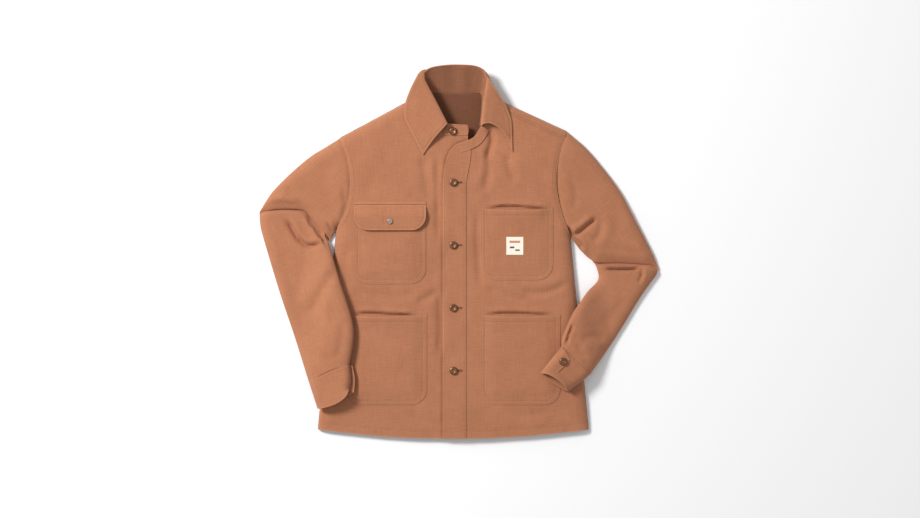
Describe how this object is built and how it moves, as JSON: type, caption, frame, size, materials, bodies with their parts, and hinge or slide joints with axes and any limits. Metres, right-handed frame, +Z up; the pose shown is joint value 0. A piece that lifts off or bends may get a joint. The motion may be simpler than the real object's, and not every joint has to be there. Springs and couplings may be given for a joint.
{
  "type": "duck work jacket",
  "caption": "Hip-length work jacket in brown cotton duck, laid flat, with shirt collar, tack-button front, flap and patch pockets, bent sleeves and button cuffs.",
  "frame": {"origin": "centre of the footprint on the surface the jacket lies on", "axes": "+Z up off that surface, +Y towards the collar, +X towards the wearer's left sleeve"},
  "size_m": [0.8972, 0.8384, 0.0527],
  "materials": {
    "duck": "matte plain-woven cotton duck",
    "label_cloth": "woven damask",
    "button_metal": "antiqued copper",
    "tack_metal": "plain brass",
    "snap_metal": "antiqued copper, worn bright"
  },
  "bodies": {
    "torso": {"back_panel": "duck", "left_front": "duck", "right_front": "duck", "left_shoulder_seam": "duck", "right_shoulder_seam": "duck", "buttonhole_band": "duck", "button_band": "duck", "collar_stand": "duck", "collar_fall": "duck", "left_band_end": "duck", "right_band_end": "duck", "right_chest_pocket": "duck", "left_chest_pocket": "duck", "right_hip_pocket": "duck", "left_hip_pocket": "duck", "woven_label": "label_cloth", "flap_seam": "duck", "snap_stud": "snap_metal", "front_tacks": "tack_metal", "neck_tack": "tack_metal"},
    "chest_flap": {"pocket_flap": "duck", "snap_cap": "snap_metal", "snap_socket": "snap_metal"},
    "left_collar": {"left_collar_leaf": "duck"},
    "right_collar": {"right_collar_leaf": "duck"},
    "button_1": {"front_button_1": "button_metal"},
    "button_2": {"front_button_2": "button_metal"},
    "button_3": {"front_button_3": "button_metal"},
    "button_4": {"front_button_4": "button_metal"},
    "button_neck": {"neck_button": "button_metal"},
    "right_upper_sleeve": {"right_upper_top_sleeve": "duck", "right_upper_under_sleeve": "duck"},
    "left_upper_sleeve": {"left_upper_top_sleeve": "duck", "left_upper_under_sleeve": "duck"},
    "right_lower_sleeve": {"right_lower_top_sleeve": "duck", "right_lower_under_sleeve": "duck", "right_cuff": "duck", "right_cuff_tab": "duck", "right_cuff_tack": "tack_metal"},
    "left_lower_sleeve": {"left_lower_top_sleeve": "duck", "left_lower_under_sleeve": "duck", "left_cuff": "duck", "left_cuff_tab": "duck", "left_cuff_tack": "tack_metal"},
    "button_right_cuff": {"right_cuff_button": "button_metal"},
    "button_left_cuff": {"left_cuff_button": "button_metal"}
  },
  "joints": [
    {"name": "right_shoulder_swing", "type": "hinge", "parent": "torso", "child": "right_upper_sleeve", "pos_m": [-0.26735, 0.25578, 0.009], "axis": [0, 0, -1], "range_deg": [0, 40]},
    {"name": "left_shoulder_swing", "type": "hinge", "parent": "torso", "child": "left_upper_sleeve", "pos_m": [0.24165, 0.27078, 0.009], "axis": [0, 0, 1], "range_deg": [0, 40]},
    {"name": "right_elbow_bend", "type": "hinge", "parent": "right_upper_sleeve", "child": "right_lower_sleeve", "pos_m": [-0.44843, 0.08927, 0.009], "axis": [0, 0, -1], "range_deg": [0, 60]},
    {"name": "left_elbow_bend", "type": "hinge", "parent": "left_upper_sleeve", "child": "left_lower_sleeve", "pos_m": [0.44857, -0.03716, 0.009], "axis": [0, 0, 1], "range_deg": [0, 60]},
    {"name": "pocket_flap_hinge", "type": "hinge", "parent": "torso", "child": "chest_flap", "pos_m": [-0.15485, 0.10578, 0.0198], "axis": [-1, 0, 0], "range_deg": [0, 140]},
    {"name": "right_collar_fold", "type": "hinge", "parent": "torso", "child": "right_collar", "pos_m": [-0.02535, 0.28778, 0.034], "axis": [-0.4472, 0.8944, 0], "range_deg": [0, 100]},
    {"name": "left_collar_fold", "type": "hinge", "parent": "torso", "child": "left_collar", "pos_m": [0.04865, 0.28278, 0.034], "axis": [-0.078, -0.997, 0], "range_deg": [0, 100]},
    {"name": "front_button_1_turn", "type": "hinge", "parent": "torso", "child": "button_1", "pos_m": [-0.01235, 0.15578, 0.023], "axis": [0, 0, 1], "continuous": true},
    {"name": "front_button_2_turn", "type": "hinge", "parent": "torso", "child": "button_2", "pos_m": [-0.01235, 0.01511, 0.023], "axis": [0, 0, 1], "continuous": true},
    {"name": "front_button_3_turn", "type": "hinge", "parent": "torso", "child": "button_3", "pos_m": [-0.01235, -0.12555, 0.023], "axis": [0, 0, 1], "continuous": true},
    {"name": "front_button_4_turn", "type": "hinge", "parent": "torso", "child": "button_4", "pos_m": [-0.01235, -0.26622, 0.023], "axis": [0, 0, 1], "continuous": true},
    {"name": "neck_button_turn", "type": "hinge", "parent": "torso", "child": "button_neck", "pos_m": [-0.01335, 0.27078, 0.022], "axis": [0, 0, 1], "continuous": true},
    {"name": "right_cuff_button_turn", "type": "hinge", "parent": "right_lower_sleeve", "child": "button_right_cuff", "pos_m": [-0.26277, -0.2817, 0.02254], "axis": [-0.1184, 0, 0.993], "continuous": true},
    {"name": "left_cuff_button_turn", "type": "hinge", "parent": "left_lower_sleeve", "child": "button_left_cuff", "pos_m": [0.23281, -0.24468, 0.04956], "axis": [0.1184, 0, 0.993], "continuous": true}
  ]
}
